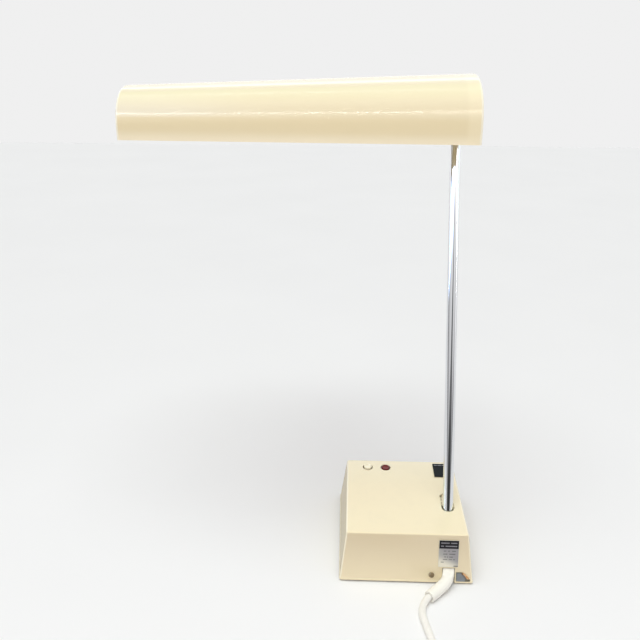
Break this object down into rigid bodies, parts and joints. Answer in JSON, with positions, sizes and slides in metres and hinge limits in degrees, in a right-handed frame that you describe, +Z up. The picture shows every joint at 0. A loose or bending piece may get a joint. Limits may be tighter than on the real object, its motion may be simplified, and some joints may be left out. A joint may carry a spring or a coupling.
{
  "type": "desk lamp",
  "caption": "Desk lamp with a push-button base, a round stem that tilts in a slot, and a long tapered shade that swivels and tilts over a pair of fluorescent tubes.",
  "frame": {"origin": "middle of the underside of the base, on the table", "axes": "+Z up; +X along the shade towards its free end; +Y towards the rear, where the cord leaves; the user sits on the -Y side"},
  "size_m": [0.402, 0.5108, 0.5341],
  "materials": {
    "cream_enamel": "gloss cream",
    "ivory_plastic": "gloss ivory",
    "red_plastic": "gloss dark red",
    "chrome": "polished",
    "steel": "zinc plated",
    "black_rubber": "matt",
    "label_metal": "printed foil",
    "black_plastic": "matt",
    "core_iron": "varnished laminations",
    "copper_winding": "enamelled copper wire",
    "contact_brass": "plain",
    "white_plastic": "matt white",
    "white_cord": "satin white",
    "white_enamel": "gloss white",
    "tube_glass": "white phosphor inside",
    "cap_aluminium": "satin"
  },
  "bodies": {
    "base": {"base_pad": "black_rubber", "base_plate": "steel", "base_housing": "cream_enamel", "housing_screws": "steel", "rating_label": "label_metal", "name_plate": "black_plastic", "foil_sticker": "label_metal", "pivot_bracket": "steel", "bracket_screws": "steel", "pivot_bolt": "steel", "pivot_washers": "steel", "pivot_nut": "steel", "choke_core": "core_iron", "choke_coil": "copper_winding", "choke_strap": "steel", "choke_screws": "steel", "switch_body": "white_plastic", "switch_screws": "steel", "switch_contacts": "contact_brass", "start_spring": "steel", "stop_spring": "steel", "terminal_block": "white_plastic", "terminal_screws": "contact_brass", "cord_clamp": "white_plastic", "clamp_screws": "steel", "base_wires": "white_plastic", "cord_sleeve": "white_cord", "cord_lead": "white_cord", "cord_coil": "white_cord", "cord_tail": "white_cord", "plug_body": "white_cord", "plug_pins": "contact_brass", "plug_contacts": "contact_brass"},
    "stem": {"stem_foot": "steel", "stem_tube": "chrome", "stem_pin": "steel", "stem_top_plug": "chrome", "stem_wire": "white_plastic"},
    "slot_cover": {"slot_cover": "cream_enamel"},
    "swivel": {"swivel_block": "chrome", "swivel_screw": "steel"},
    "shade": {"shade_bracket": "steel", "shade_bracket_screws": "steel", "tilt_bolt": "steel", "tilt_washers": "steel", "tilt_nut": "steel", "shade_shell": "cream_enamel", "reflector": "white_enamel", "reflector_screws": "steel", "tube_holders": "white_plastic", "tube_front": "tube_glass", "tube_rear": "tube_glass", "tube_caps": "cap_aluminium", "shade_wires": "white_plastic"},
    "start_button": {"start_button": "ivory_plastic"},
    "stop_button": {"stop_button": "red_plastic"}
  },
  "joints": [
    {"name": "stem_tilt", "type": "hinge", "parent": "base", "child": "stem", "pos_m": [-0.05, 0.04025, 0.022], "axis": [1, 0, 0], "range_deg": [0, 17]},
    {"name": "slot_cover_slide", "type": "slide", "parent": "base", "child": "slot_cover", "axis": [0, -0.9978, 0.0664], "range_m": [0, 0.01539]},
    {"name": "shade_swivel", "type": "hinge", "parent": "stem", "child": "swivel", "pos_m": [-0.05, -0.11289, 0.46424], "axis": [0, -0.3272, 0.9449], "range_deg": [-90, 90]},
    {"name": "shade_tilt", "type": "hinge", "parent": "swivel", "child": "shade", "pos_m": [-0.05, -0.12009, 0.48502], "axis": [1, 0, 0], "range_deg": [-40, 40]},
    {"name": "start_press", "type": "slide", "parent": "base", "child": "start_button", "axis": [0, -0.0664, -0.9978], "range_m": [0, 0.0026], "stiffness_N_per_m": 300, "springref_m": -0.004, "deforming": ["start_spring"]},
    {"name": "stop_press", "type": "slide", "parent": "base", "child": "stop_button", "axis": [0, -0.0664, -0.9978], "range_m": [0, 0.0026], "stiffness_N_per_m": 300, "springref_m": -0.004, "deforming": ["stop_spring"]}
  ],
  "couplings": [
    {"joint": "slot_cover_slide", "follows": "stem_tilt", "m_per_rad": 0.051198}
  ]
}
